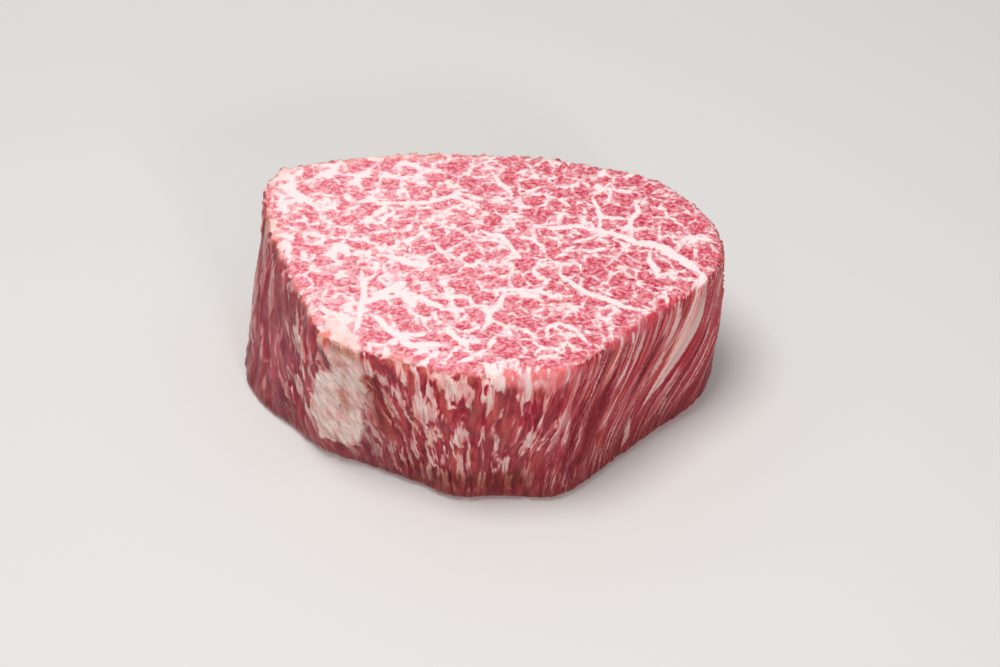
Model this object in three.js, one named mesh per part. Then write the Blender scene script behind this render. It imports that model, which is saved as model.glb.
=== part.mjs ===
// A raw, thick-cut strip steak: one boneless block of heavily marbled beef, lying on one of its cut faces.
// Millimetres, +Z up. X runs along the steak and Y across it.
// The origin is under the middle, on the resting face.
import * as THREE from "three";

// Driving sizes.
const THICKNESS = 40; // between the two cut faces, which is how the steak was portioned
const REST_RIM = 2.2; // how round the edge is where the steak rests
const CUT_RIM = 0.9; // how round the edge of the upper cut face is, where nothing else is said
const FACE_WAVE = 0.35; // how far the upper cut face rises and dips
const SIDE_WAVE = 0.3; // the same for the trimmed sides

// The waves of the upper cut face: lengths along X and Y, where each starts, and its part of FACE_WAVE.
const FACE_WAVES = [
  { lengths: [71, 118], start: 0.7, part: 0.65 },
  { lengths: [37, -49], start: 2.1, part: 0.35 },
];

// Two waves whose product makes the sides uneven: how many there are around the steak and up its side.
const SIDE_WAVES = [
  { around: 7, up: 0.6 },
  { around: 2, up: 1.1 },
];

// How finely the surface is divided.
const STEPS_PER_POINT = 4; // between two neighbouring points of an outline
const REST_RIM_STEPS = 3;
const SIDE_STEPS = 8;
const CUT_RIM_STEPS = 4;
const REST_FACE_RINGS = [0.35, 0.7]; // shares of the way from the middle of the face to its rim
const CUT_FACE_RINGS = [0.93, 0.8, 0.62, 0.42, 0.2];

// Each row is one upright line of the side, clockwise as seen from above, from the far left corner.
// It gives the line's place at the upper cut face and at the resting face.
const SIDE_LINES = [
  { name: "far left corner", cut: [-44.2, 20.8], rest: [-49.2, 20.0] },
  { name: "far left corner, back", cut: [-42.3, 28.2], rest: [-45.6, 28.6] },
  { name: "back, left end", cut: [-33.0, 30.8], rest: [-34.0, 31.4] },
  { name: "back, left half", cut: [-16.5, 32.6], rest: [-17.0, 32.6] },
  { name: "back, middle", cut: [-2.0, 33.5], rest: [-2.0, 33.1] },
  { name: "back, right half", cut: [15.0, 32.4], rest: [15.0, 32.4] },
  { name: "back, step", cut: [27.0, 30.0], rest: [27.2, 30.2] },
  { name: "back, right end", cut: [39.2, 26.4], rest: [39.8, 26.5] },
  { name: "tip, back", cut: [47.6, 19.0], rest: [48.2, 18.8] },
  { name: "tip, middle", cut: [53.6, 10.2], rest: [53.4, 9.6] },
  { name: "tip, front", cut: [54.4, 2.6], rest: [53.6, 1.0] },
  { name: "tip, corner", cut: [49.4, -6.0], rest: [50.4, -6.2] },
  { name: "right side, upper end", cut: [38.6, -14.8], rest: [40.2, -14.9] },
  { name: "right side, lower end", cut: [30.3, -23.1], rest: [32.4, -22.2] },
  { name: "near right corner, side", cut: [23.6, -29.3], rest: [24.4, -29.9] },
  { name: "near right corner, front", cut: [18.6, -31.5], rest: [18.4, -32.6] },
  { name: "front, right end", cut: [8.0, -31.2], rest: [7.6, -32.6] },
  { name: "front, middle", cut: [-2.6, -31.2], rest: [-2.6, -33.1] },
  { name: "front, left half", cut: [-12.3, -28.9], rest: [-11.4, -28.6] },
  { name: "front, left end", cut: [-22.3, -25.6], rest: [-21.6, -24.0] },
  { name: "fat corner", cut: [-29.8, -21.2], rest: [-30.8, -19.7] },
  { name: "left side, fat end", cut: [-32.9, -13.4], rest: [-38.2, -13.7] },
  { name: "left side, middle", cut: [-36.4, -4.8], rest: [-45.9, -7.9] },
  { name: "left side, spur", cut: [-40.6, 4.8], rest: [-50.4, -0.4] },
  { name: "left side, far end", cut: [-43.0, 13.7], rest: [-51.3, 6.6] },
];

// Places where the side stands out from a straight line between its two ends, or is hollow.
// height is a share of the thickness; reach is given in side lines and as a share of the thickness.
const SWELLINGS = [
  { line: "fat corner", height: 0.4, out: 1.3, reach: [1.3, 0.34] },
  { line: "front, left end", height: 0.5, out: -0.9, reach: [0.8, 0.26] },
  { line: "front, middle", height: 0.62, out: 0.8, reach: [1.6, 0.3] },
  { line: "front, right end", height: 0.7, out: 1.3, reach: [1.3, 0.22] },
  { line: "near right corner, side", height: 0.52, out: -0.9, reach: [0.8, 0.4] },
  { line: "right side, upper end", height: 0.5, out: 0.5, reach: [1.5, 0.4] },
  { line: "tip, front", height: 0.55, out: 0.7, reach: [1.6, 0.4] },
  { line: "tip, back", height: 0.4, out: 0.6, reach: [1.5, 0.4] },
  { line: "back, left half", height: 0.5, out: 0.9, reach: [3.0, 0.5] },
  { line: "left side, middle", height: 0.45, out: -0.8, reach: [1.6, 0.3] },
];

// Stretches where the edge of the upper cut face is rounder than CUT_RIM.
const SOFT_EDGES = [
  { line: "tip, front", rim: 2.6, reach: 2.0 },
  { line: "left side, middle", rim: 3.2, reach: 1.2 },
  { line: "front, left half", rim: 3.0, reach: 1.6 },
  { line: "front, right end", rim: 3.0, reach: 1.1 },
  { line: "far left corner, back", rim: 1.5, reach: 1.0 },
];

const TURN = 2 * Math.PI;
const LINES = SIDE_LINES.length;
const AROUND = LINES * STEPS_PER_POINT;

// The outline of one face as a closed smooth curve, whose parameter counts side lines.
function outline(face) {
  const points = SIDE_LINES.map((line) => new THREE.Vector3(...line[face], 0));
  return new THREE.CatmullRomCurve3(points, true, "centripetal");
}

const cutOutline = outline("cut");
const restOutline = outline("rest");

function lineNumber(name) {
  return SIDE_LINES.findIndex((line) => line.name === name);
}

// How many side lines lie between a place on the way round and a named line, the shorter way.
function linesApart(around, name) {
  const gap = Math.abs(around * LINES - lineNumber(name));
  return Math.min(gap, LINES - gap);
}

// 1 at the middle of a feature, falling smoothly to 0 well outside its reach.
function bell(distance, reach) {
  return Math.exp(-((distance / reach) ** 2));
}

// The outward direction of an outline, level, at a place on the way round.
function outward(curve, around) {
  const tangent = curve.getTangent(around);
  return new THREE.Vector3(-tangent.y, tangent.x, 0).normalize();
}

function rimAt(around) {
  return SOFT_EDGES.reduce(
    (rim, edge) => rim + (edge.rim - CUT_RIM) * bell(linesApart(around, edge.line), edge.reach),
    CUT_RIM,
  );
}

// How far the side stands out at a height, for its swellings and its slight unevenness.
function standsOut(around, height) {
  const share = height / THICKNESS;
  const swelling = SWELLINGS.reduce((sum, swell) => {
    const level = bell(linesApart(around, swell.line), swell.reach[0]);
    return sum + swell.out * level * bell(share - swell.height, swell.reach[1]);
  }, 0);
  const wave = SIDE_WAVES.reduce(
    (product, one) => product * Math.sin(TURN * (one.around * around + one.up * share)),
    SIDE_WAVE,
  );
  return swelling + wave;
}

// A point of the trimmed side, moved in from its surface.
function sidePoint(around, height, inset) {
  const share = height / THICKNESS;
  const point = restOutline.getPoint(around).lerp(cutOutline.getPoint(around), share);
  const out = outward(restOutline, around).lerp(outward(cutOutline, around), share).normalize();
  point.addScaledVector(out, standsOut(around, height) - inset);
  return point.setZ(height);
}

// The rise of the upper cut face over its nominal height.
function faceRise(x, y) {
  return FACE_WAVES.reduce((rise, wave) => {
    const turns = x / wave.lengths[0] + y / wave.lengths[1];
    return rise + FACE_WAVE * wave.part * Math.sin(TURN * turns + wave.start);
  }, 0);
}

function ring(pointAt) {
  return Array.from({ length: AROUND }, (_, step) => pointAt(step / AROUND));
}

// The rings of the surface, from the middle of the resting face up to the middle of the cut face.
function rings() {
  const made = [];
  const restRing = (share) => (around) =>
    sidePoint(around, 0, REST_RIM).multiplyScalar(share).setZ(0);
  REST_FACE_RINGS.forEach((share) => made.push(ring(restRing(share))));
  for (let step = 0; step <= REST_RIM_STEPS; step++) {
    const angle = ((step / REST_RIM_STEPS) * TURN) / 4;
    const inset = REST_RIM * (1 - Math.sin(angle));
    const height = REST_RIM * (1 - Math.cos(angle));
    made.push(ring((around) => sidePoint(around, height, inset)));
  }
  for (let step = 1; step < SIDE_STEPS; step++) {
    const share = step / SIDE_STEPS;
    made.push(
      ring((around) => {
        const top = THICKNESS - rimAt(around);
        return sidePoint(around, THREE.MathUtils.lerp(REST_RIM, top, share), 0);
      }),
    );
  }
  for (let step = 0; step <= CUT_RIM_STEPS; step++) {
    const angle = ((step / CUT_RIM_STEPS) * TURN) / 4;
    made.push(ring((around) => rimPoint(around, angle)));
  }
  CUT_FACE_RINGS.forEach((share) => made.push(ring((around) => facePoint(around, share))));
  return made;
}

// A point of the rounded edge of the cut face, where the angle goes from the side to the face.
function rimPoint(around, angle) {
  const rim = rimAt(around);
  const height = THICKNESS - rim * (1 - Math.sin(angle));
  const point = sidePoint(around, height, rim * (1 - Math.cos(angle)));
  return point.setZ(height + faceRise(point.x, point.y) * Math.sin(angle));
}

// A point of the upper cut face, a share of the way from its middle to its rim.
function facePoint(around, share) {
  const point = rimPoint(around, TURN / 4).multiplyScalar(share);
  return point.setZ(THICKNESS + faceRise(point.x, point.y));
}

// One closed surface over rings of equally many points, with a middle point at either end.
function skin(allRings, first, last) {
  const points = [first, ...allRings.flat(), last];
  const at = (row, step) => 1 + row * AROUND + (step % AROUND);
  const index = [];
  for (let step = 0; step < AROUND; step++) {
    index.push(0, at(0, step), at(0, step + 1));
    for (let row = 0; row + 1 < allRings.length; row++) {
      const [a, b] = [at(row, step), at(row, step + 1)];
      const [c, d] = [at(row + 1, step), at(row + 1, step + 1)];
      index.push(a, c, b, b, c, d);
    }
    index.push(at(allRings.length - 1, step), points.length - 1, at(allRings.length - 1, step + 1));
  }
  const geometry = new THREE.BufferGeometry().setFromPoints(points);
  geometry.setIndex(index);
  return geometry;
}

// Moves a shape so that the origin is under the middle of its box, on the resting face.
function centred(geometry) {
  geometry.computeBoundingBox();
  const middle = geometry.boundingBox.getCenter(new THREE.Vector3());
  geometry.translate(-middle.x, -middle.y, -geometry.boundingBox.min.z);
  geometry.computeVertexNormals();
  return geometry;
}

function steak() {
  const restMiddle = new THREE.Vector3(0, 0, 0);
  const cutMiddle = new THREE.Vector3(0, 0, THICKNESS + faceRise(0, 0));
  const geometry = centred(skin(rings(), restMiddle, cutMiddle));
  const meat = new THREE.MeshStandardMaterial({ color: 0xd98f92, roughness: 0.45, metalness: 0 });
  const mesh = new THREE.Mesh(geometry, meat);
  mesh.name = "steak";
  return mesh;
}

const root = new THREE.Group();
root.add(steak());

export default root;
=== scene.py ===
"""The looks of a raw, thick-cut strip steak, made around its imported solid.

One piece stands for the steak: a fine mesh over the solid, with its fibres and its fat in relief, in one
finish of marbled beef. Lengths are in millimetres where nothing else is said, and the scene is in metres.
"""

import logging
import math
from collections.abc import Mapping, Sequence
from dataclasses import dataclass, field
from enum import Enum

import bmesh
import bpy
import numpy as np
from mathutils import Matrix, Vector
from mathutils.bvhtree import BVHTree


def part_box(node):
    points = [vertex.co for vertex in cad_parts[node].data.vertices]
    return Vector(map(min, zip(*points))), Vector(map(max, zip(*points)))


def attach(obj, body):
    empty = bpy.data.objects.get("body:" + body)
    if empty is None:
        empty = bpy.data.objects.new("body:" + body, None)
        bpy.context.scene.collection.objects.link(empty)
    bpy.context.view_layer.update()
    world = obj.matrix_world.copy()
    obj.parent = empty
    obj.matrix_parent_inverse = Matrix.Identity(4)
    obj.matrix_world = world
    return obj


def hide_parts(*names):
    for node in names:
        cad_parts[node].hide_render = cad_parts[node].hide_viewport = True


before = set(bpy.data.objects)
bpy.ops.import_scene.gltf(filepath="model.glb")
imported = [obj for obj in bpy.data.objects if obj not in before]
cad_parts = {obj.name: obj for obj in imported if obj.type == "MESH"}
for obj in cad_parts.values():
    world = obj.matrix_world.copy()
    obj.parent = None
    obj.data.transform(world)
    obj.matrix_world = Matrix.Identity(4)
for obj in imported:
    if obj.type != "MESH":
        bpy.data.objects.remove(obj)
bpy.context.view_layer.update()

log = logging.getLogger("steak")

MM = 0.001  # one millimetre in metres
PHOTO_SIZE = (1000, 667)

Colour = tuple[float, float, float, float]
Pixel = tuple[float, float]


def shown(red: int, green: int, blue: int) -> Colour:
    """Turns a colour as a screen shows it into the linear one that a shader takes.

    Args:
        red: Red from 0 to 255.
        green: Green from 0 to 255.
        blue: Blue from 0 to 255.

    Returns:
        The linear colour, with full alpha.
    """
    linear = [((part / 255 + 0.055) / 1.055) ** 2.4 for part in (red, green, blue)]
    return (linear[0], linear[1], linear[2], 1.0)


class Value:
    """A number that varies over the surface: an output socket with Python's arithmetic."""

    def __init__(self, nodes: "Nodes", socket: bpy.types.NodeSocket) -> None:
        """Wraps one socket of a tree."""
        self.nodes = nodes
        self.socket = socket

    def _math(self, operation: str, *terms: "Value | float") -> "Value":
        """Adds a Math node over some terms."""
        node = self.nodes.add("ShaderNodeMath", {"operation": operation}, dict(enumerate(terms)))
        return Value(self.nodes, node.outputs[0])

    def __add__(self, other: "Value | float") -> "Value":
        """Self plus other."""
        return self._math("ADD", self, other)

    __radd__ = __add__

    def __sub__(self, other: "Value | float") -> "Value":
        """Self less other."""
        return self._math("SUBTRACT", self, other)

    def __rsub__(self, other: "Value | float") -> "Value":
        """Other less self."""
        return self._math("SUBTRACT", other, self)

    def __mul__(self, other: "Value | float") -> "Value":
        """Self times other."""
        return self._math("MULTIPLY", self, other)

    __rmul__ = __mul__

    def __or__(self, other: "Value | float") -> "Value":
        """The higher of the two, so that two masks join."""
        return self._math("MAXIMUM", self, other)

    def __and__(self, other: "Value | float") -> "Value":
        """The lower of the two."""
        return self._math("MINIMUM", self, other)

    def step(self, start: "Value | float", end: "Value | float") -> "Value":
        """Goes smoothly from 0 at start to 1 at end.

        Args:
            start: The value where the step begins. It may be higher than end.
            end: The value where it is complete.

        Returns:
            The share of the step, from 0 to 1.
        """
        node = self.nodes.add(
            "ShaderNodeMapRange",
            {"interpolation_type": "SMOOTHSTEP"},
            {"Value": self, "From Min": start, "From Max": end},
        )
        return Value(self.nodes, node.outputs[0])

    def coloured(self, *stops: "tuple[float, Colour]") -> "Tint":
        """Turns the number into a colour.

        Args:
            stops: Numbers from 0 to 1 in rising order, each with its colour.

        Returns:
            The colour, which changes evenly between the stops.
        """
        node = self.nodes.add("ShaderNodeValToRGB", {"stops": stops}, {"Fac": self})
        return Tint(self.nodes, node.outputs["Color"])


class Place:
    """A point of the meat's own space, in millimetres: an output socket with vector arithmetic."""

    def __init__(self, nodes: "Nodes", socket: bpy.types.NodeSocket) -> None:
        """Wraps one vector socket of a tree."""
        self.nodes = nodes
        self.socket = socket

    def _math(self, operation: str, other: "Place | Sequence[float]") -> "Place":
        """Adds a Vector Math node over self and other."""
        node = self.nodes.add("ShaderNodeVectorMath", {"operation": operation}, {0: self, 1: other})
        return Place(self.nodes, node.outputs[0])

    def part(self, axis: str) -> Value:
        """The place's X, Y or Z alone."""
        node = self.nodes.add("ShaderNodeSeparateXYZ", {}, {0: self})
        return Value(self.nodes, node.outputs[axis])

    def __add__(self, other: "Place | Sequence[float]") -> "Place":
        """Self moved by other."""
        return self._math("ADD", other)

    def __mul__(self, other: "Place | Sequence[float]") -> "Place":
        """Self stretched by other, along each axis."""
        return self._math("MULTIPLY", other)

    def wander(self, size: float, reach: float) -> "Place":
        """Moves the place to and fro, so that what is drawn there gets an uneven outline.

        Args:
            size: About how long one bend is.
            reach: About how far the place moves to either side.

        Returns:
            The moved place.
        """
        cloud = self.nodes.add(
            "ShaderNodeTexNoise", {}, {"Vector": self, "Scale": 1 / size, "Detail": 1.0}
        )
        spread = 4 * reach
        swing = Place(self.nodes, cloud.outputs["Color"]) * (spread, spread, spread)
        return self + (swing + (-spread / 2, -spread / 2, -spread / 2))


class Nodes:
    """Adds nodes to one tree, of a material or of geometry."""

    def __init__(self, tree: bpy.types.NodeTree) -> None:
        """Starts on a tree."""
        self.tree = tree

    def add(
        self,
        kind: str,
        settings: Mapping[str, object] | None = None,
        sockets: Mapping[str | int, object] | None = None,
    ) -> bpy.types.Node:
        """Adds one node.

        Args:
            kind: The node's type.
            settings: Its properties, which are set first; stops are a colour ramp's places and colours.
            sockets: A number, a colour, a vector or a link for each of its input sockets.

        Returns:
            The new node.
        """
        node = self.tree.nodes.new(kind)
        for name, setting in (settings or {}).items():
            if name == "stops":
                self._set_stops(node.color_ramp, setting)
            else:
                setattr(node, name, setting)
        for name, value in (sockets or {}).items():
            self._feed(node.inputs[name], value)
        return node

    def _feed(self, socket: bpy.types.NodeSocket, value: object) -> None:
        """Links a socket to a value, or sets it."""
        if hasattr(value, "socket"):
            self.tree.links.new(socket, value.socket)
        elif isinstance(value, bpy.types.NodeSocket):
            self.tree.links.new(socket, value)
        else:
            socket.default_value = value

    @staticmethod
    def _set_stops(ramp: bpy.types.ColorRamp, stops: Sequence[tuple[float, Colour]]) -> None:
        """Gives a colour ramp its stops."""
        while len(ramp.elements) < len(stops):
            ramp.elements.new(1.0)
        for element, (position, colour) in zip(ramp.elements, stops):
            element.position = position
            element.color = colour

    def noise(self, place: Place, size: float, detail: float = 2.0) -> Value:
        """A soft, irregular mottle around a half.

        Args:
            place: Where it is read.
            size: About how large one blotch is.
            detail: How many finer mottles are added to it.

        Returns:
            The mottle, mostly from 0.25 to 0.75.
        """
        node = self.add("ShaderNodeTexNoise", {}, {"Vector": place, "Scale": 1 / size, "Detail": detail})
        return Value(self, node.outputs["Fac"])

    def lumps(self, place: Place, size: float) -> Value:
        """How far a place is from the middle of the nearest of many irregular lumps.

        Args:
            place: Where it is read.
            size: About how large one lump is.

        Returns:
            The distance in millimetres.
        """
        node = self.add("ShaderNodeTexVoronoi", {"feature": "F1"}, {"Vector": place, "Scale": 1 / size})
        return Value(self, node.outputs["Distance"]) * size

    def walls(self, place: Place, size: float) -> Value:
        """How far a place is from the nearest wall between two irregular cells.

        Args:
            place: Where it is read.
            size: About how large one cell is.

        Returns:
            The distance in millimetres.
        """
        node = self.add(
            "ShaderNodeTexVoronoi",
            {"feature": "DISTANCE_TO_EDGE"},
            {"Vector": place, "Scale": 1 / size},
        )
        return Value(self, node.outputs["Distance"]) * size


class Tint:
    """A colour that varies over the surface: an output socket with ways to mix it."""

    def __init__(self, nodes: Nodes, socket: bpy.types.NodeSocket) -> None:
        """Wraps one colour socket."""
        self.nodes = nodes
        self.socket = socket

    def towards(self, other: "Tint | Colour", share: Value, blend: str = "MIX") -> "Tint":
        """Goes part of the way to another colour.

        Args:
            other: The other colour.
            share: How far it goes there, from 0 to 1.
            blend: How the two are mixed.

        Returns:
            The mixed colour.
        """
        node = self.nodes.add(
            "ShaderNodeMix", {"data_type": "RGBA", "blend_type": blend}, {0: share, 6: self, 7: other}
        )
        return Tint(self.nodes, node.outputs[2])


class Mark(Enum):
    """What a route traced on the steak shows. Its value names the mesh attribute that holds it."""

    VEIN = "vein"  # a broad vein of fat
    RIND = "rind"  # a patch of outer fat
    BROWNED = "browned"  # meat that the air has turned brown
    DEEP = "deep"  # dark red, wet meat
    LIT_EDGE = "lit_edge"  # painted light: brighter red under the edges, where light catches them and shines through the thin meat


@dataclass(frozen=True)
class Traced:
    """Routes traced on one part of the steak in the photo, all showing the same mark.

    Each stop of a route is a pixel of the photo and how wide the mark is there, in millimetres.
    """

    area: str
    mark: Mark
    routes: Sequence[Sequence[tuple[float, float, float]]]


TRACES = (
    Traced("main vein, from the middle of the cut face to the corner of the tip", Mark.VEIN, [
        [(526, 225, 0.8), (535, 226, 0.9), (551, 228, 1.0), (577, 226, 1.2), (594, 230, 1.3), (610, 233, 1.4),
         (626, 238, 1.5), (636, 243, 1.6), (651, 244, 1.8), (664, 248, 2.0), (675, 256, 2.0), (690, 265, 2.1),
         (699, 272, 2.2)],
    ]),
    Traced("branches of the main vein", Mark.VEIN, [
        [(580, 215, 0.6), (584, 222, 0.7), (594, 228, 0.8)],
        [(592, 197, 0.9), (597, 207, 1.1), (600, 215, 1.1), (600, 229, 1.0)],
        [(634, 200, 1.0), (639, 212, 1.2), (630, 220, 1.2), (633, 240, 1.1)],
        [(599, 215, 0.7), (604, 218, 0.8), (621, 218, 0.8), (630, 220, 0.8)],
        [(573, 243, 0.7), (578, 241, 0.8), (591, 238, 0.8), (602, 233, 0.7)],
        [(615, 238, 0.7), (613, 251, 0.6)],
        [(651, 246, 0.7), (649, 261, 0.9), (657, 270, 1.6), (657, 278, 1.0)],
        [(675, 254, 0.9), (686, 239, 0.9), (691, 235, 0.7)],
        [(695, 241, 0.7), (696, 264, 0.7)],
        [(660, 243, 0.6), (659, 231, 0.6), (660, 222, 0.5)],
        [(534, 226, 0.8), (534, 241, 0.9), (542, 246, 0.9), (540, 256, 0.8)],
    ]),
    Traced("behind the main vein", Mark.VEIN, [
        [(591, 189, 0.8), (610, 189, 0.9), (626, 192, 1.0), (633, 192, 0.9)],
        [(527, 194, 0.9), (535, 189, 1.0), (545, 186, 0.9)],
        [(490, 168, 0.7), (498, 181, 0.8), (509, 189, 0.8), (512, 199, 0.8)],
        [(508, 204, 0.7), (525, 207, 0.8), (537, 208, 0.7)],
        [(480, 230, 0.9), (490, 235, 1.1), (501, 235, 1.2), (511, 248, 1.1), (517, 254, 0.9)],
        [(470, 240, 0.9), (495, 240, 1.1), (510, 246, 0.9)],
    ]),
    Traced("second vein, towards the near right corner", Mark.VEIN, [
        [(545, 256, 0.6), (558, 264, 0.7), (561, 275, 0.8), (578, 288, 1.2), (586, 293, 1.3), (604, 298, 1.3),
         (625, 307, 1.2), (650, 313, 0.9)],
        [(504, 290, 1.2), (521, 290, 1.1), (540, 291, 1.1), (553, 296, 1.1), (571, 296, 1.2)],
        [(505, 290, 1.3), (499, 306, 1.3), (489, 312, 1.3), (488, 323, 1.2), (481, 332, 1.0)],
        [(548, 340, 0.8), (547, 328, 0.9), (560, 323, 1.0), (575, 330, 0.9), (590, 345, 0.8)],
    ]),
    Traced("left half, far side", Mark.VEIN, [
        [(360, 191, 0.8), (378, 203, 1.0), (393, 203, 0.9), (427, 203, 1.1), (452, 196, 1.1), (470, 203, 1.3),
         (483, 206, 1.1)],
        [(416, 202, 1.6), (426, 202, 1.6)],
        [(280, 185, 2.0), (295, 194, 2.4), (316, 206, 2.2)],
        [(381, 255, 1.2), (392, 257, 1.4), (401, 260, 1.6), (410, 263, 1.9), (424, 265, 2.0),
         (429, 267, 1.6)],
        [(410, 260, 0.7), (410, 243, 0.6)],
        [(384, 244, 0.8), (392, 253, 0.9)],
        [(334, 244, 2.4), (344, 248, 2.8), (348, 255, 2.2)],
        [(311, 255, 1.5), (315, 255, 1.5)],
        [(370, 261, 1.2), (377, 264, 1.3), (376, 272, 1.1)],
    ]),
    Traced("left half, near side", Mark.VEIN, [
        [(362, 271, 0.8), (361, 280, 1.1), (365, 290, 1.2), (362, 303, 1.6), (360, 315, 1.3), (357, 327, 1.2),
         (354, 334, 0.9)],
        [(340, 307, 0.7), (349, 304, 0.9), (362, 303, 1.4), (376, 299, 1.5), (386, 292, 1.8), (400, 285, 2.3),
         (404, 283, 1.8)],
        [(404, 283, 1.2), (405, 296, 1.2), (410, 302, 1.3), (421, 296, 1.2), (429, 303, 1.2), (440, 306, 1.2),
         (449, 308, 1.0)],
        [(381, 276, 0.8), (392, 281, 0.8), (401, 285, 0.9)],
        [(370, 314, 1.1), (378, 318, 1.2), (384, 326, 1.4), (392, 332, 1.6), (402, 336, 1.8),
         (410, 344, 1.8)],
        [(400, 336, 1.5), (405, 343, 1.6), (413, 346, 1.6), (432, 344, 1.4), (439, 343, 1.2)],
        [(439, 327, 1.1), (448, 330, 1.2), (455, 336, 1.3), (464, 343, 1.3), (469, 350, 1.1)],
        [(449, 296, 0.9), (451, 308, 0.9)],
        [(432, 296, 1.0), (449, 298, 1.0), (461, 296, 1.0), (469, 299, 1.0), (473, 306, 1.0),
         (488, 307, 0.9)],
        [(326, 288, 0.8), (323, 298, 0.8), (329, 299, 0.7)],
        [(318, 304, 1.2), (327, 312, 1.3), (338, 316, 1.3), (344, 327, 1.2), (346, 332, 1.0)],
    ]),
    Traced("band down the right side, from the corner of the tip", Mark.VEIN, [
        [(702, 274, 3.0), (703, 290, 4.0), (697, 312, 4.8), (688, 333, 5.0), (677, 354, 4.4), (665, 371, 3.0),
         (653, 388, 1.8), (643, 404, 1.4)],
        [(680, 316, 1.2), (671, 336, 1.4), (661, 358, 1.5), (650, 380, 1.2)],
        [(676, 380, 0.8), (662, 398, 1.4), (648, 420, 1.0)],
        [(629, 421, 1.1), (626, 436, 1.2), (622, 447, 0.8)],
        [(666, 399, 1.0), (659, 414, 1.0)],
    ]),
    Traced("thin lines on the right side", Mark.VEIN, [
        [(583, 417, 0.4), (578, 441, 0.45), (568, 464, 0.45), (562, 490, 0.4)],
        [(588, 454, 0.45), (581, 480, 0.45)],
        [(633, 333, 0.6), (634, 343, 0.6), (628, 356, 0.5)],
        [(644, 330, 0.7), (641, 343, 0.7), (633, 359, 0.6)],
    ]),
    Traced("front side, under the edge", Mark.VEIN, [
        [(399, 362, 1.0), (403, 373, 1.1), (405, 385, 0.9)],
        [(448, 383, 0.9), (447, 397, 1.0), (449, 408, 1.0), (457, 408, 0.8)],
        [(487, 366, 2.6), (488, 376, 1.8)],
        [(493, 366, 3.0), (495, 380, 2.2), (500, 390, 1.2)],
        [(501, 366, 2.6), (503, 384, 1.4), (505, 397, 1.0)],
        [(511, 368, 1.4), (513, 380, 0.8)],
        [(520, 368, 1.2), (520, 384, 0.8)],
        [(529, 368, 1.8), (529, 385, 1.6), (528, 401, 1.6)],
        [(538, 368, 1.4), (536, 384, 0.8)],
        [(549, 370, 0.9), (545, 388, 0.7)],
        [(406, 391, 0.6), (408, 400, 0.6)],
        [(470, 397, 0.6), (468, 406, 0.6)],
    ]),
    Traced("front side, lower down", Mark.VEIN, [
        [(405, 401, 0.7), (405, 419, 0.7)],
        [(421, 391, 1.1), (420, 401, 1.5), (426, 411, 1.6), (424, 422, 1.5), (428, 427, 1.3)],
        [(429, 434, 0.9), (428, 450, 1.0), (433, 462, 1.0), (438, 466, 0.8)],
        [(439, 411, 0.5), (436, 429, 0.5)],
        [(458, 423, 1.0), (456, 440, 1.2), (462, 448, 1.1)],
        [(444, 447, 0.6), (445, 455, 0.6)],
        [(502, 411, 0.7), (500, 419, 0.7)],
        [(443, 479, 0.7), (449, 485, 0.6)],
        [(370, 447, 0.6), (373, 455, 0.6)],
        [(379, 460, 0.6), (383, 465, 0.6)],
        [(391, 452, 0.8), (396, 465, 0.9), (405, 473, 0.8)],
        [(412, 448, 1.1), (416, 453, 1.2)],
    ]),
    Traced("left side", Mark.VEIN, [
        [(294, 325, 0.9), (298, 333, 1.0), (304, 345, 1.0), (307, 362, 0.8)],
        [(269, 369, 0.5), (273, 380, 0.5)],
        [(289, 365, 0.6), (294, 377, 0.8), (300, 391, 0.6)],
        [(273, 393, 0.5), (282, 409, 0.6)],
        [(286, 402, 0.5), (295, 419, 0.5)],
        [(291, 387, 0.5), (296, 403, 0.5)],
        [(278, 359, 0.4), (280, 378, 0.4)],
        [(253, 330, 0.8), (253, 358, 0.9)],
        [(259, 265, 0.5), (258, 300, 0.5)],
        [(273, 255, 0.5), (270, 267, 0.6), (269, 289, 0.5)],
        [(302, 293, 1.0), (296, 311, 0.9)],
        [(305, 312, 0.6), (300, 321, 0.6)],
    ]),
    Traced("patch of outer fat at the near left corner", Mark.RIND, [
        [(331, 319, 2.2), (338, 331, 4.0), (343, 345, 6.5), (347, 360, 8.0), (348, 380, 8.0), (348, 400, 7.0),
         (348, 425, 7.5), (346, 438, 5.0)],
        [(326, 380, 4.5), (322, 400, 5.0), (320, 415, 6.0), (326, 432, 5.0)],
        [(336, 374, 4.0), (334, 400, 5.0), (334, 425, 5.0)],
    ]),
    Traced("browned by the air", Mark.BROWNED, [
        [(372, 382, 4.0), (380, 405, 6.0), (388, 430, 4.0)],
        [(400, 462, 2.0), (450, 478, 4.0), (500, 480, 5.0), (530, 478, 3.0)],
        [(321, 334, 1.0), (335, 347, 1.3), (352, 355, 1.3), (361, 360, 1.0)],
        [(317, 342, 1.0), (326, 359, 1.4), (332, 372, 0.8)],
        [(345, 372, 0.8), (343, 392, 1.1), (348, 410, 0.8)],
    ]),
    Traced("deep, wet red", Mark.DEEP, [
        [(613, 374, 1.6), (606, 390, 3.4), (598, 410, 4.6), (590, 434, 4.0), (580, 460, 2.4)],
        [(583, 405, 2.0), (574, 440, 2.2), (568, 470, 1.6)],
        [(662, 340, 1.4), (648, 366, 2.0), (634, 392, 1.6)],
        [(634, 326, 3.0), (646, 320, 2.5)],
    ]),
    # Painted light: under these edges light catches the meat and shines through it, so the meat is painted
    # brighter red.
    Traced("bright red under the edge", Mark.LIT_EDGE, [
        [(505, 375, 5.0), (530, 377, 7.0), (556, 374, 7.0), (568, 372, 4.0)],
        [(297, 280, 1.2), (305, 292, 1.8), (314, 308, 2.2), (320, 322, 1.2)],
        [(612, 347, 1.5), (634, 330, 4.5), (648, 320, 5.0), (664, 306, 2.5), (690, 285, 1.5)],
    ]),
)


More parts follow.
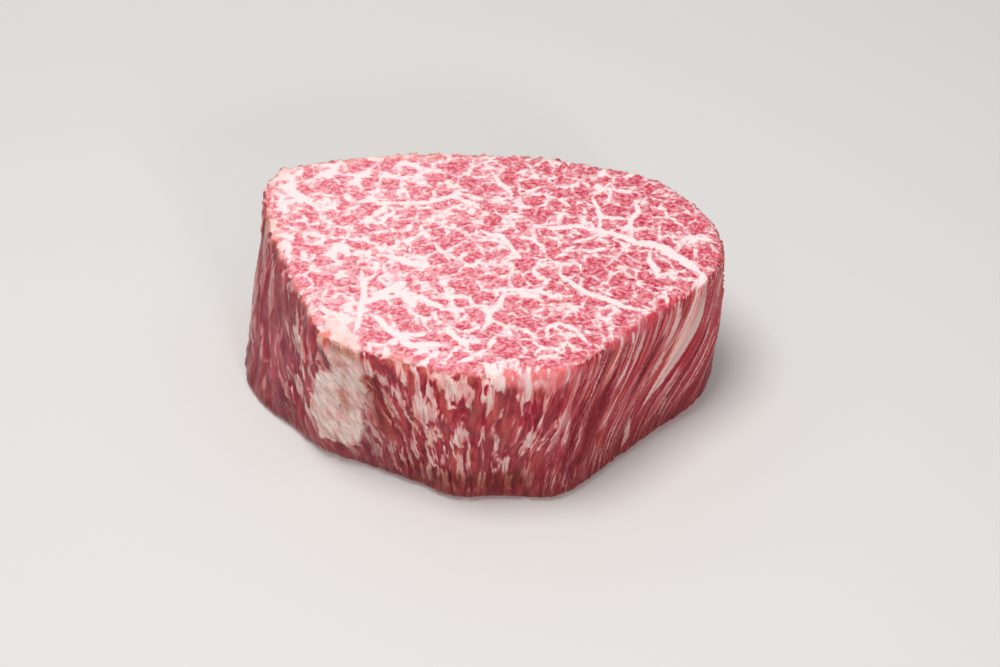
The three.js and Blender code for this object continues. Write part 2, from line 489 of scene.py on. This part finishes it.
@dataclass
class View:
    """The camera, as it stood for the photo."""

    aim: tuple[float, float, float] = (4.75, -2.73, 20.0)
    pitch: float = 47.0  # degrees below level
    distance: float = 421.0
    lens: float = 70.0
    sensor: float = 36.0

    def __post_init__(self) -> None:
        """Works out the camera's axes."""
        tilt = math.radians(self.pitch)
        self.right = Vector((1, 0, 0))
        self.forward = Vector((0, math.cos(tilt), -math.sin(tilt)))
        self.up = Vector((0, math.sin(tilt), math.cos(tilt)))
        self.eye = (Vector(self.aim) - self.forward * self.distance) * MM

    def build(self) -> bpy.types.Object:
        """Makes the camera and looks through it."""
        data = bpy.data.cameras.new("camera")
        data.lens = self.lens
        data.sensor_width = self.sensor
        data.clip_start = 0.01
        camera = bpy.data.objects.new("camera", data)
        camera.location = self.eye
        camera.rotation_euler = (math.radians(90 - self.pitch), 0, 0)
        bpy.context.scene.collection.objects.link(camera)
        bpy.context.scene.camera = camera
        return camera

    def ray(self, pixel: Pixel) -> Vector:
        """The direction in which the camera sees a pixel of the photo.

        Args:
            pixel: The pixel, counted from the photo's upper left corner.

        Returns:
            The direction, of length 1.
        """
        across = (pixel[0] - PHOTO_SIZE[0] / 2) / PHOTO_SIZE[0] * self.sensor
        down = (pixel[1] - PHOTO_SIZE[1] / 2) / PHOTO_SIZE[0] * self.sensor
        return (self.forward * self.lens + self.right * across - self.up * down).normalized()


@dataclass
class Block:
    """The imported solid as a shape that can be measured: how far out its side lies, all the way round."""

    solid: bpy.types.Object
    directions: int = 720
    levels: int = 24
    rims: tuple[float, float] = (2.4, 4.4)  # heights left out at the resting face and at the cut face

    def __post_init__(self) -> None:
        """Measures the sides, at a number of heights and in all directions."""
        mesh = bmesh.new()
        mesh.from_mesh(self.solid.data)
        self.tree = BVHTree.FromBMesh(mesh)
        mesh.free()
        low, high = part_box(self.solid.name)
        self.top = high.z / MM
        self.heights = np.linspace(self.rims[0], self.top - self.rims[1], self.levels)
        self.turns = np.arange(self.directions) * 2 * math.pi / self.directions
        self.reach = np.array([[self._out(turn, height) for turn in self.turns] for height in self.heights])
        edge = self.reach[-1][:, None] * np.stack([np.cos(self.turns), np.sin(self.turns)], 1)
        self.edge = np.vstack([edge, edge[:1]])
        steps = np.linalg.norm(np.diff(self.edge, axis=0), axis=1)
        self.along = np.concatenate([[0.0], np.cumsum(steps)])

    def _out(self, turn: float, height: float) -> float:
        """How far the side is from the upright axis, in one direction at one height."""
        start = Vector((0, 0, height * MM))
        hit = self.tree.ray_cast(start, Vector((math.cos(turn), math.sin(turn), 0)))
        return (hit[0] - start).length / MM

    def turn_of(self, points: np.ndarray) -> np.ndarray:
        """The direction of each point from the upright axis, from 0 to a whole turn."""
        return np.arctan2(points[:, 1], points[:, 0]) % (2 * math.pi)

    def side_at(self, points: np.ndarray) -> np.ndarray:
        """How far out the side is at each point's height and direction.

        Args:
            points: The points, in millimetres.

        Returns:
            The distances from the upright axis.
        """
        column = self.turn_of(points) / (2 * math.pi) * self.directions
        left = np.floor(column).astype(int) % self.directions
        right = (left + 1) % self.directions
        span = self.heights[-1] - self.heights[0]
        row = np.clip((points[:, 2] - self.heights[0]) / span, 0, 1) * (self.levels - 1)
        below = np.minimum(np.floor(row).astype(int), self.levels - 2)
        share = row - below
        part = column - np.floor(column)
        lower = self.reach[below, left] * (1 - part) + self.reach[below, right] * part
        upper = self.reach[below + 1, left] * (1 - part) + self.reach[below + 1, right] * part
        return lower * (1 - share) + upper * share

    def hit(self, view: View, pixel: Pixel) -> np.ndarray:
        """The point of the steak that a pixel of the photo shows.

        Args:
            view: The camera.
            pixel: The pixel.

        Returns:
            The point, in millimetres.
        """
        found = self.tree.ray_cast(view.eye, view.ray(pixel))[0]
        if found is None:
            raise ValueError(f"pixel {pixel} doesn't show the steak")
        return np.array(found) / MM


@dataclass
class Fibres:
    """How the fibres run through the block: each row is a direction in degrees, as seen from above.

    lean is how far a fibre moves round the block for each millimetre that it goes down, and short is how much
    shorter a fleck of fat is along a fibre than it would be if it were as long as the block is thick.
    """

    lean: Sequence[tuple[float, float]] = (
        (0, -0.55), (14, -0.42), (35, -0.20), (65, 0.10), (93, 0.15), (117, 0.10), (155, 0.0), (187, 0.30),
        (202, 0.42), (215, 0.40), (229, 0.32), (247, 0.14), (265, 0.0), (285, -0.22), (300, -0.38),
        (312, -0.45), (325, -0.56), (340, -0.64), (352, -0.60),
    )
    short: Sequence[tuple[float, float]] = (
        (0, 0.09), (90, 0.16), (155, 0.13), (180, 0.14), (195, 0.24), (215, 0.28), (240, 0.32), (275, 0.30),
        (295, 0.20), (315, 0.10), (345, 0.08),
    )
    bend: float = 0.75  # how much of the lean comes halfway up, the rest being even
    blur: int = 8  # over how many degrees one row of a table passes into the next

    def _round(self, table: Sequence[tuple[float, float]], turns: np.ndarray) -> np.ndarray:
        """Reads a table of directions smoothly, all the way round."""
        degrees = np.degrees(turns)
        places = np.array([row[0] for row in table], float)
        values = np.array([row[1] for row in table], float)
        fine = np.arange(0, 360, 1.0)
        coarse = np.interp(fine, places, values, period=360)
        ends = 3 * self.blur
        weights = np.exp(-0.5 * (np.arange(-ends, ends + 1) / self.blur) ** 2)
        wrapped = np.concatenate([coarse[-ends:], coarse, coarse[:ends]])
        smooth = np.convolve(wrapped, weights / weights.sum(), "valid")
        return np.interp(degrees, fine, smooth, period=360)

    def grain(self, block: Block, points: np.ndarray) -> np.ndarray:
        """Where each point lies in the meat's own space, in which the fibres are upright.

        Args:
            block: The block that the fibres run through.
            points: Points on its surface, in millimetres.

        Returns:
            The points of the meat's own space, whose third number runs along the fibres.
        """
        turns = block.turn_of(points)
        down = np.clip(block.top - points[:, 2], 0, block.top)
        share = down / block.top
        curved = self.bend * share * share * (3 - 2 * share) + (1 - self.bend) * share
        lean = self._round(self.lean, turns)
        whole = np.append(block.turns, 2 * math.pi)
        at = np.interp(turns, whole, block.along)
        moved = (at - lean * curved * block.top) % block.along[-1]
        rim = np.stack([np.interp(moved, block.along, block.edge[:, axis]) for axis in (0, 1)], 1)
        radius = np.linalg.norm(points[:, :2], axis=1)
        part = np.where(share > 0, radius / block.side_at(points), 0)
        even = radius / np.interp(turns, whole, np.append(block.reach[-1], block.reach[-1][0]))
        part = np.where(points[:, 2] > block.heights[-1], even, part)
        mean = np.mean([row[1] for row in self.short])
        short = mean + (self._round(self.short, turns) - mean) * np.clip(part, 0, 1) ** 2
        return np.column_stack([rim * part[:, None], -down * short])


@dataclass(frozen=True)
class MarbledBeef:
    """The finish of the steak: how its fat lies in the lean, and the colours of both.

    Sizes are across the fibres: on the trimmed sides all of it is drawn out along them. Where three numbers
    are added to a place, they only make one noise differ from the next.
    """

    island: float = 3.7  # across an island of lean between two walls of fat
    patch: float = 2.0  # across one of the parts that thin twigs of fat split it into
    crumb: float = 0.85  # across one of the crumbs that the lean falls into
    grit: float = 0.72  # across one of its finest grains
    wall: float = 0.68  # half the width of a wall where fat is plentiful
    blotch: float = 2.2  # across a pale blotch on a side
    strand: float = 1.0  # across a bundle of fibres there
    thread: float = 0.45  # across one of the threads of a bundle
    skin: float = 0.2  # how deep the finest relief is, which the mesh is too coarse for
    glow: float = 1.2  # how deep light enters the meat
    lean: Colour = shown(219, 80, 100)  # lean of the cut face
    lean_pale: Colour = shown(238, 138, 150)  # the same with fine fat in it
    fat_pink: Colour = shown(247, 192, 196)  # fat that the lean shines through
    fat: Colour = shown(252, 230, 229)
    deep: Colour = shown(180, 34, 62)  # dark red of the lean, and painted shade in the hollows between its grains
    rim_glow: Colour = shown(240, 170, 140)  # painted light: the rim of the cut face paler and more orange, where light catches it and shines through it
    side_deep: Colour = shown(142, 20, 44)  # the darkest lean of the sides
    side_lean: Colour = shown(212, 62, 80)
    side_pale: Colour = shown(232, 136, 136)  # lean with threads of fat
    side_dull_fat: Colour = shown(240, 194, 188)  # thin fat
    side_fat: Colour = shown(253, 231, 224)
    side_warm: Colour = shown(240, 124, 108)
    side_crimson: Colour = shown(176, 14, 50)  # freshly trimmed, mostly on the right side
    side_dull: Colour = shown(146, 84, 78)
    side_brown: Colour = shown(218, 178, 152)  # this and the next two darken what is under them
    # Painted shade: darkens the sides towards the bottom.
    side_painted_low_shade: Colour = shown(196, 160, 156)
    wet: Colour = shown(196, 70, 120)
    side_purple: Colour = shown(140, 66, 82)  # this and the next are on the left side
    side_pink: Colour = shown(222, 104, 118)
    lit_edge: Colour = shown(255, 128, 122)  # painted light: the glow under the front and left edges
    lit_edge_deep: Colour = shown(226, 44, 74)  # painted light: the deeper red glow under the right edge
    outer_fat: Colour = shown(252, 226, 217)
    outer_fat_pink: Colour = shown(240, 188, 180)
    outer_fat_dull: Colour = shown(216, 146, 134)

    def fat_share(self, nodes: Nodes, read: "Reading") -> Value:
        """How much of each place is fat.

        Args:
            nodes: The tree that it is drawn in.
            read: The mesh attributes.

        Returns:
            0 in pure lean, 1 in pure fat.
        """
        cut = self._cut_fat(nodes, read)
        side = self._side_fat(nodes, read)
        crumb = nodes.noise(read.grain, 0.8, 2.0) - 0.5
        bulge = nodes.noise(read.grain + (50.0, 3.0, 0.0), 2.2, 1.0) - 0.5
        fray = nodes.noise(read.grain, 0.5, 2.0) - 0.5
        ragged = read.vein + crumb + bulge * 0.8 + fray * read.trim + 0.02
        lines = nodes.noise(read.grain * (1.0, 1.0, 0.4), 0.6, 2.0).step(0.42, 0.70)
        veins = ragged.step(0.48, -0.20) * (1 - (lines * 0.45 + 0.08) * read.trim)
        return cut + (side - cut) * read.trim | veins | read.outer

    def _cut_fat(self, nodes: Nodes, read: "Reading") -> Value:
        """The fat of the cut face: broken walls that crumble into the lean."""
        place = read.grain * (0.82, 1.0, 1.0)
        loose = place.wander(3.5, 0.8).wander(1.1, 0.22)
        right = read.grain.part("X").step(-45.0, 40.0)
        plenty = nodes.noise(place, 4.0, 2.0).step(0.34, 0.70) * (1.22 - right * 0.57)
        walls = nodes.walls(loose, self.island)
        crumb = nodes.noise(place, 0.95, 2.0) - 0.5
        bulge = nodes.noise(place + (50.0, 3.0, 0.0), 2.2, 1.0) - 0.5
        net = (walls + crumb * 1.6 + bulge * 1.1 - plenty * self.wall + 0.15).step(0.70, -0.30)
        near = (walls - plenty * 0.6).step(1.2, 0.0)
        lump = nodes.lumps(place.wander(0.9, 0.2), self.crumb)
        crumbs = (lump + near * 0.28 * (plenty * 0.6 + 0.4) + crumb * 0.5).step(0.44, 0.84)
        small = nodes.walls(loose + (40.0, 20.0, 0.0), self.patch)
        thin = nodes.noise(place + (7.0, 31.0, 0.0), 3.0, 1.0).step(0.40, 0.72)
        twigs = (small + crumb * 1.5 + bulge - thin * 0.5 + 0.32).step(0.54, -0.20)
        return net | crumbs * (0.62 - right * 0.22) | twigs * 0.52

    def _side_fat(self, nodes: Nodes, read: "Reading") -> Value:
        """The fat of the trimmed sides: blotches, strands and threads along the fibres."""
        place = read.grain
        right = read.right_side
        loose = place.wander(3.0, 0.7).wander(1.2, 0.45)
        blotches = nodes.noise(loose, self.blotch, 2.0).step(0.46, 0.60)
        blotches = blotches * (1 - read.low.step(0.78, 0.95) * 0.5)
        strands = nodes.noise(loose, self.strand, 3.0).step(0.44, 0.64)
        threads = nodes.noise(place * (1.0, 1.0, 0.5), self.thread, 2.0).step(0.46, 0.66)
        fine = nodes.noise(place.wander(1.5, 0.25) * (1.8, 1.8, 0.6), self.strand, 3.0).step(0.50, 0.60)
        coarse = blotches * (0.64 - right * 0.46) + strands * (0.22 - right * 0.06)
        return coarse + fine * right * 0.46 + threads * (right * 0.12 + 0.10)

    def tint(self, nodes: Nodes, read: "Reading", fat: Value) -> Tint:
        """The colour of each place.

        Args:
            nodes: The tree that it is drawn in.
            read: The mesh attributes.
            fat: How much of each place is fat.

        Returns:
            The colour.
        """
        meat = self._cut_tint(nodes, read, fat).towards(self._side_tint(nodes, read, fat), read.trim)
        dull = nodes.noise(read.grain.wander(2.0, 0.5) * (1.0, 1.0, 3.5), 3.6, 3.0).step(0.34, 0.74)
        outer = dull.coloured(
            (0.0, self.outer_fat), (0.6, self.outer_fat_pink), (1.0, self.outer_fat_dull)
        )
        left = read.grain.part("X").step(12.0, -8.0)
        # Painted light: a paler, orange rim, mostly on the left and front, where light catches the rim and
        # shines through it.
        rim_glow_share = read.rim * nodes.noise(read.grain, 5.0, 3.0).step(0.35, 0.65) * (left * 0.7 + 0.10)
        dried = (read.browned + read.broken * 4.0).step(1.1, -1.1) * read.trim
        right = read.grain.part("X").step(14.0, 24.0)
        # Painted light: brighter red under the edges, deeper red on the right side.
        lit_edge = right.coloured((0.0, self.lit_edge), (1.0, self.lit_edge_deep))
        meat = meat.towards(lit_edge, read.lit_edge * (1 - fat) * 0.7).towards(self.rim_glow, rim_glow_share)
        meat = meat.towards(outer, read.outer * (read.trim * 0.5 + 0.5))
        return meat.towards(self.side_brown, dried * 0.9, "MULTIPLY")

    def _cut_tint(self, nodes: Nodes, read: "Reading", fat: Value) -> Tint:
        """The colour of the cut face."""
        place = read.grain
        right = place.part("X").step(-40.0, 45.0)
        grit = self._grit(nodes, place)
        mottle = nodes.noise(place + (9.0, 4.0, 0.0), 1.6, 3.0).step(0.30, 0.70)
        share = fat | grit.step(0.46, 0.68) * 0.42 + mottle * 0.16 + (1 - right) * 0.10
        tint = share.coloured(
            (0.0, self.lean), (0.30, self.lean_pale), (0.62, self.fat_pink), (1.0, self.fat)
        )
        dim = nodes.noise(place + (3.0, 9.0, 0.0), 5.0, 2.0).step(0.3, 0.7)
        # Partly painted shade: the lean darkens in the hollows between the grains, which the bump lowers,
        # besides its own dark patches and darker right half.
        hollow_shade = grit.step(0.52, 0.34) * (right * 0.50 + 0.24)
        tone_and_hollow_shade = (dim * 0.18 + right * 0.24 + hollow_shade) * (1 - share)
        return tint.towards(self.deep, tone_and_hollow_shade & 0.85)

    def _grit(self, nodes: Nodes, place: Place) -> Value:
        """The fine, crumbly grain of the lean on the cut face."""
        return nodes.noise(place.wander(0.8, 0.15) * (0.75, 1.0, 1.0), self.grit, 3.0)

    def _side_tint(self, nodes: Nodes, read: "Reading", fat: Value) -> Tint:
        """The colour of the trimmed sides."""
        place = read.grain
        left = place.part("X").step(-14.0, -36.0)
        tint = fat.coloured(
            (0.0, self.side_deep), (0.22, self.side_lean), (0.48, self.side_pale),
            (0.74, self.side_dull_fat), (1.0, self.side_fat),
        )
        right = read.right_side
        dark = nodes.noise(place + (5.0, 17.0, 0.0), 1.3, 3.0).step(0.42, 0.62)
        warm = nodes.noise(place + (21.0, 3.0, 0.0), 2.6, 2.0).step(0.46, 0.66)
        dull = nodes.noise(place + (8.0, 27.0, 0.0), 3.4, 3.0).step(0.52, 0.72)
        purple = nodes.noise(place + (2.0, 7.0, 0.0), 6.0, 3.0).step(0.30, 0.60) * left
        pink = nodes.noise(place.wander(2.0, 0.5) + (6.0, 2.0, 0.0), 2.4, 3.0).step(0.44, 0.62) * left
        wet = (read.deep + read.broken * 2.8).step(1.4, -1.0)
        lean = 1 - fat.step(0.30, 0.75)
        # Partly painted shade: the lean darkens towards the bottom; the dark mottle is the meat's own tone.
        tint = tint.towards(self.side_deep, (dark * 0.75 | read.low * 0.75) * lean)
        tint = tint.towards(self.side_warm, warm * (0.35 - right * 0.05))
        tint = tint.towards(self.side_dull, dull * (0.45 - right * 0.25))
        rich = nodes.noise(place + (1.0, 12.0, 0.0), 3.6, 2.0).step(0.44, 0.60) * (right * 0.5 + 0.1)
        tint = tint.towards(self.side_crimson, rich * (1 - fat * 0.8))
        tint = tint.towards(self.side_purple, purple * (1 - fat * 0.6) * 0.75)
        tint = tint.towards(self.side_pink, pink * read.low.step(0.25, 0.60) * (1 - fat) * 0.5)
        # Painted shade: the sides darker towards the bottom.
        tint = tint.towards(self.side_painted_low_shade, read.low.step(0.55, 1.0) * (1 - left * 0.2), "MULTIPLY")
        return tint.towards(self.wet, wet, "MULTIPLY")

    def material(self) -> bpy.types.Material:
        """Makes the material."""
        material = bpy.data.materials.new("marbled beef")
        material.use_nodes = True
        nodes = Nodes(material.node_tree)
        nodes.tree.nodes.clear()
        read = Reading(nodes, "ShaderNodeAttribute")
        fat = self.fat_share(nodes, read)
        colour = self.tint(nodes, read, fat)
        threads = nodes.noise(read.grain * (1.0, 1.0, 0.5), self.thread, 2.0)
        grit = self._grit(nodes, read.grain)
        folds = nodes.noise(read.grain.wander(2.0, 0.6) * (1.0, 1.0, 3.0), 1.5, 3.0)
        side = threads * 1.3 * (1 - read.outer) + folds * read.outer * 6.0
        height = grit * 0.8 + (side - grit * 0.8) * read.trim
        bump = nodes.add(
            "ShaderNodeBump", {}, {"Strength": 1.0, "Distance": self.skin * MM, "Height": height}
        )
        gloss = nodes.noise(read.grain, 1.2, 2.0).step(0.35, 0.65) * 0.16 + (0.34 - read.trim * 0.16)
        shader = nodes.add(
            "ShaderNodeBsdfPrincipled",
            {},
            {
                "Base Color": colour,
                "Roughness": gloss,
                "Normal": bump.outputs["Normal"],
                "Subsurface Weight": 0.2,
                "Subsurface Radius": (1.0, 0.35, 0.25),
                "Subsurface Scale": self.glow * MM,
                "IOR": 1.4,
                "Specular IOR Level": 0.32,
            },
        )
        nodes.add("ShaderNodeOutputMaterial", {}, {"Surface": shader.outputs[0]})
        return material


class Reading:
    """What the finish and the relief go by, as values of one tree, most of them mesh attributes."""

    def __init__(self, nodes: Nodes, kind: str) -> None:
        """Adds a node for each attribute, and breaks up the edges of the marks.

        Args:
            nodes: The tree that reads them.
            kind: The type of node that reads an attribute there.
        """
        self.nodes = nodes
        self.kind = kind
        self.grain = Place(nodes, self._socket("grain", "Vector", "FLOAT_VECTOR"))
        self.vein = self._value(Mark.VEIN.value)
        self.browned = self._value(Mark.BROWNED.value)
        self.deep = self._value(Mark.DEEP.value)
        self.low = self._value("low")
        self.rim = self._value("rim")
        self.right_side = self.grain.part("X").step(14.0, 30.0)
        level = self._value("level")
        ragged = (nodes.noise(self.grain + (3.0, 1.0, 0.0), 1.6, 2.0) - 0.5) * 0.5
        torn = nodes.noise(self.grain * (1.0, 1.0, 2.5), 2.6, 4.0) - 0.5
        self.outer = (self._value(Mark.RIND.value) + torn * 5.0).step(0.7, -0.7)
        self.broken = nodes.noise(self.grain, 3.0, 3.0) - 0.5
        # Under the edges the cut face's finish carries on down, and the lit edge gets its painted light.
        lit_edge = (self._value(Mark.LIT_EDGE.value) + self.broken * 4.0).step(1.4, -1.4)
        self.lit_edge = lit_edge * level.step(0.95, 0.70)
        self.trim = (level + ragged).step(0.82, 0.60) * (1 - lit_edge * 0.75)

    def _socket(self, name: str, output: str, data_type: str) -> bpy.types.NodeSocket:
        """The socket that gives one attribute."""
        if self.kind == "ShaderNodeAttribute":
            return self.nodes.add(self.kind, {"attribute_name": name}).outputs[output]
        return self.nodes.add(self.kind, {"data_type": data_type}, {"Name": name}).outputs[0]

    def _value(self, name: str) -> Value:
        """One attribute that is a number."""
        return Value(self.nodes, self._socket(name, "Fac", "FLOAT"))


@dataclass
class Steak:
    """The steak itself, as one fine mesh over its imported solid."""

    view: View
    node: str = "steak"
    name: str = "marbled_steak"
    weld: float = 0.001  # points of the solid that are closer than this are one point
    grid: float = 0.5  # between two neighbouring points of the mesh
    smoothing: int = 8
    rim: float = 2.0  # how far down the side the rim of the cut face reaches
    rim_start: float = 11 / 12  # where the rim begins on the cut face, as a share of the way out
    taper: float = 0.45  # how much of its width a vein keeps at its ends
    far: float = 6.0  # how far from a mark its distance still counts
    finish: MarbledBeef = field(default_factory=MarbledBeef)
    fibres: Fibres = field(default_factory=Fibres)

    def build(self) -> bpy.types.Object:
        """Makes the piece, with its relief and its finish.

        Returns:
            The piece, riding where the solid was.
        """
        self.block = Block(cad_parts[self.node])
        piece = self._fine_mesh()
        self._mark(piece)
        self._raise(piece)
        self._rest(piece)
        piece.data.materials.clear()
        piece.data.materials.append(self.finish.material())
        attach(piece, "root")
        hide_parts(self.node)
        log.info("%s: %d faces", piece.name, len(piece.data.polygons))
        return piece

    def _fine_mesh(self) -> bpy.types.Object:
        """Lays an even, fine mesh over the solid."""
        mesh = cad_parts[self.node].data.copy()
        mesh.name = self.name
        welded = bmesh.new()
        welded.from_mesh(mesh)
        bmesh.ops.remove_doubles(welded, verts=welded.verts, dist=self.weld * MM)
        welded.to_mesh(mesh)
        welded.free()
        piece = bpy.data.objects.new(self.name, mesh)
        bpy.context.scene.collection.objects.link(piece)
        remesh = piece.modifiers.new("fine", "REMESH")
        remesh.mode = "VOXEL"
        remesh.voxel_size = self.grid * MM
        remesh.use_smooth_shade = True
        smooth = piece.modifiers.new("smooth", "SMOOTH")
        smooth.factor = 0.5
        smooth.iterations = self.smoothing
        self._apply(piece)
        return piece

    @staticmethod
    def _apply(piece: bpy.types.Object) -> None:
        """Applies all modifiers of a piece."""
        graph = bpy.context.evaluated_depsgraph_get()
        made = bpy.data.meshes.new_from_object(
            piece.evaluated_get(graph), preserve_all_data_layers=True, depsgraph=graph
        )
        old = piece.data
        piece.modifiers.clear()
        piece.data = made
        made.name = piece.name
        bpy.data.meshes.remove(old)

    @staticmethod
    def _points(mesh: bpy.types.Mesh, what: str = "co") -> np.ndarray:
        """The mesh's points in millimetres, or its normals."""
        found = np.empty(len(mesh.vertices) * 3, np.float32)
        if what == "co":
            mesh.vertices.foreach_get("co", found)
            return found.reshape(-1, 3).astype(float) / MM
        mesh.vertex_normals.foreach_get("vector", found)
        return found.reshape(-1, 3).astype(float)

    def _mark(self, piece: bpy.types.Object) -> None:
        """Writes the attributes that the finish and the relief go by."""
        mesh = piece.data
        points = self._points(mesh)
        normals = self._points(mesh, "normal")
        self._store(mesh, "grain", self.fibres.grain(self.block, points))
        self._store(mesh, "level", np.abs(normals[:, 2]))
        self._store(mesh, "low", 1 - np.clip(points[:, 2] / self.block.top, 0, 1))
        radius = np.linalg.norm(points[:, :2], axis=1) / self.block.side_at(points)
        edge = np.exp(-(((points[:, 2] - self.block.top) / self.rim) ** 2))
        outer = np.clip((radius - self.rim_start) / (1 - self.rim_start), 0, 1)
        self._store(mesh, "rim", edge * outer)
        for mark in Mark:
            self._store(mesh, mark.value, self._distance(points, mark))
        log.info("marks traced: %s", "; ".join(traced.area for traced in TRACES))

    def _distance(self, points: np.ndarray, mark: Mark) -> np.ndarray:
        """How far each point is outside the marks of one kind, or how far inside, as a negative number."""
        nearest = np.full(len(points), self.far)
        for route in (route for traced in TRACES if traced.mark is mark for route in traced.routes):
            places = np.array([self.block.hit(self.view, stop[:2]) for stop in route])
            halves = np.array([stop[2] / 2 for stop in route])
            if mark is Mark.VEIN:
                halves[[0, -1]] *= self.taper
            for start, end, wide, narrow in zip(places, places[1:], halves, halves[1:]):
                run = end - start
                share = np.clip((points - start) @ run / (run @ run), 0, 1)
                gap = np.linalg.norm(points - start - share[:, None] * run, axis=1)
                nearest = np.minimum(nearest, gap - wide - (narrow - wide) * share)
        return nearest

    @staticmethod
    def _store(mesh: bpy.types.Mesh, name: str, values: np.ndarray) -> None:
        """Writes one attribute, a number or a vector for each point of the mesh."""
        vector = values.ndim == 2
        layer = mesh.attributes.new(name, "FLOAT_VECTOR" if vector else "FLOAT", "POINT")
        layer.data.foreach_set("vector" if vector else "value", values.astype(np.float32).ravel())

    def _raise(self, piece: bpy.types.Object) -> None:
        """Gives the surface its relief, by geometry nodes that are then applied."""
        tree = bpy.data.node_groups.new("relief", "GeometryNodeTree")
        tree.interface.new_socket("Geometry", in_out="INPUT", socket_type="NodeSocketGeometry")
        tree.interface.new_socket("Geometry", in_out="OUTPUT", socket_type="NodeSocketGeometry")
        nodes = Nodes(tree)
        read = Reading(nodes, "GeometryNodeInputNamedAttribute")
        fat = self.finish.fat_share(nodes, read)
        grooves = nodes.noise(read.grain * (1.0, 1.0, 0.6), 1.3, 2.0) - 0.5
        lumps = nodes.noise(read.grain.wander(3.0, 0.5), 2.6, 2.0) - 0.5
        ragged = nodes.noise(read.grain, 3.2, 3.0) - 0.5
        grooved = grooves * 1.4 * (1 - read.outer * 0.3)
        above = 1 - read.low.step(0.80, 1.0) * 0.7
        side = (grooved + lumps * (2.8 - read.right_side * 1.8)) * read.trim * above
        rise = (fat - 0.5) * (read.trim * 0.3 + 0.16) + side + ragged * read.rim * 1.2
        start = nodes.add("NodeGroupInput")
        normal = nodes.add("GeometryNodeInputNormal")
        offset = nodes.add(
            "ShaderNodeVectorMath", {"operation": "SCALE"}, {0: normal.outputs[0], "Scale": rise * MM}
        )
        moved = nodes.add(
            "GeometryNodeSetPosition", {}, {"Geometry": start.outputs[0], "Offset": offset.outputs[0]}
        )
        nodes.add("NodeGroupOutput", {}, {0: moved.outputs[0]})
        relief = piece.modifiers.new("relief", "NODES")
        relief.node_group = tree
        self._apply(piece)

    @staticmethod
    def _rest(piece: bpy.types.Object) -> None:
        """Flattens what the relief has pushed below the resting face."""
        mesh = piece.data
        places = np.empty(len(mesh.vertices) * 3, np.float32)
        mesh.vertices.foreach_get("co", places)
        places[2::3] = np.maximum(places[2::3], 0)
        mesh.vertices.foreach_set("co", places)
        mesh.update()


@dataclass(frozen=True)
class Lamp:
    """A round, soft lamp that shines at the steak."""

    name: str
    place: tuple[float, float, float]
    size: float
    power: float  # watts

    def build(self) -> None:
        """Makes the lamp."""
        data = bpy.data.lights.new(self.name, "AREA")
        data.energy = self.power
        data.shape = "DISK"
        data.size = self.size * MM
        light = bpy.data.objects.new(self.name, data)
        light.location = Vector(self.place) * MM
        light.rotation_euler = light.location.to_track_quat("Z", "Y").to_euler()
        bpy.context.scene.collection.objects.link(light)


LAMPS = (
    Lamp("key light", (-110.0, -40.0, 640.0), 280.0, 2.6),
    Lamp("fill light", (220.0, -520.0, 330.0), 160.0, 0.7),
)


@dataclass
class Studio:
    """A plain pale floor and soft studio light."""

    floor_size: float = 4000.0
    floor_colour: Colour = shown(226, 224, 221)
    sky_colour: Colour = (1.0, 1.0, 1.0, 1.0)
    sky_strength: float = 0.38

    def build(self) -> bpy.types.Object:
        """Makes the floor, the light and the sky.

        Returns:
            The floor.
        """
        floor = self._floor()
        for lamp in LAMPS:
            lamp.build()
        self._sky()
        bpy.context.scene.view_settings.view_transform = "Standard"
        return floor

    def _floor(self) -> bpy.types.Object:
        """Makes a level floor just under the steak."""
        mesh = bpy.data.meshes.new("floor")
        shape = bmesh.new()
        bmesh.ops.create_grid(shape, x_segments=1, y_segments=1, size=self.floor_size / 2 * MM)
        shape.to_mesh(mesh)
        shape.free()
        floor = bpy.data.objects.new("floor", mesh)
        bpy.context.scene.collection.objects.link(floor)
        material = bpy.data.materials.new("pale floor")
        material.use_nodes = True
        nodes = Nodes(material.node_tree)
        nodes.tree.nodes.clear()
        shader = nodes.add(
            "ShaderNodeBsdfPrincipled", {}, {"Base Color": self.floor_colour, "Roughness": 0.7}
        )
        nodes.add("ShaderNodeOutputMaterial", {}, {"Surface": shader.outputs[0]})
        mesh.materials.append(material)
        return floor

    def _sky(self) -> None:
        """Makes an even, soft light from all around."""
        world = bpy.data.worlds.new("studio")
        world.use_nodes = True
        nodes = Nodes(world.node_tree)
        nodes.tree.nodes.clear()
        glow = nodes.add(
            "ShaderNodeBackground", {}, {"Color": self.sky_colour, "Strength": self.sky_strength}
        )
        nodes.add("ShaderNodeOutputWorld", {}, {"Surface": glow.outputs[0]})
        bpy.context.scene.world = world


def main() -> None:
    """Builds the view, the steak and the studio."""
    logging.basicConfig(level=logging.INFO, format="%(message)s")
    view = View()
    view.build()
    piece = Steak(view).build()
    floor = Studio().build()
    log.info("pieces: %s on %s", piece.name, floor.name)


if __name__ == "__main__":
    main()
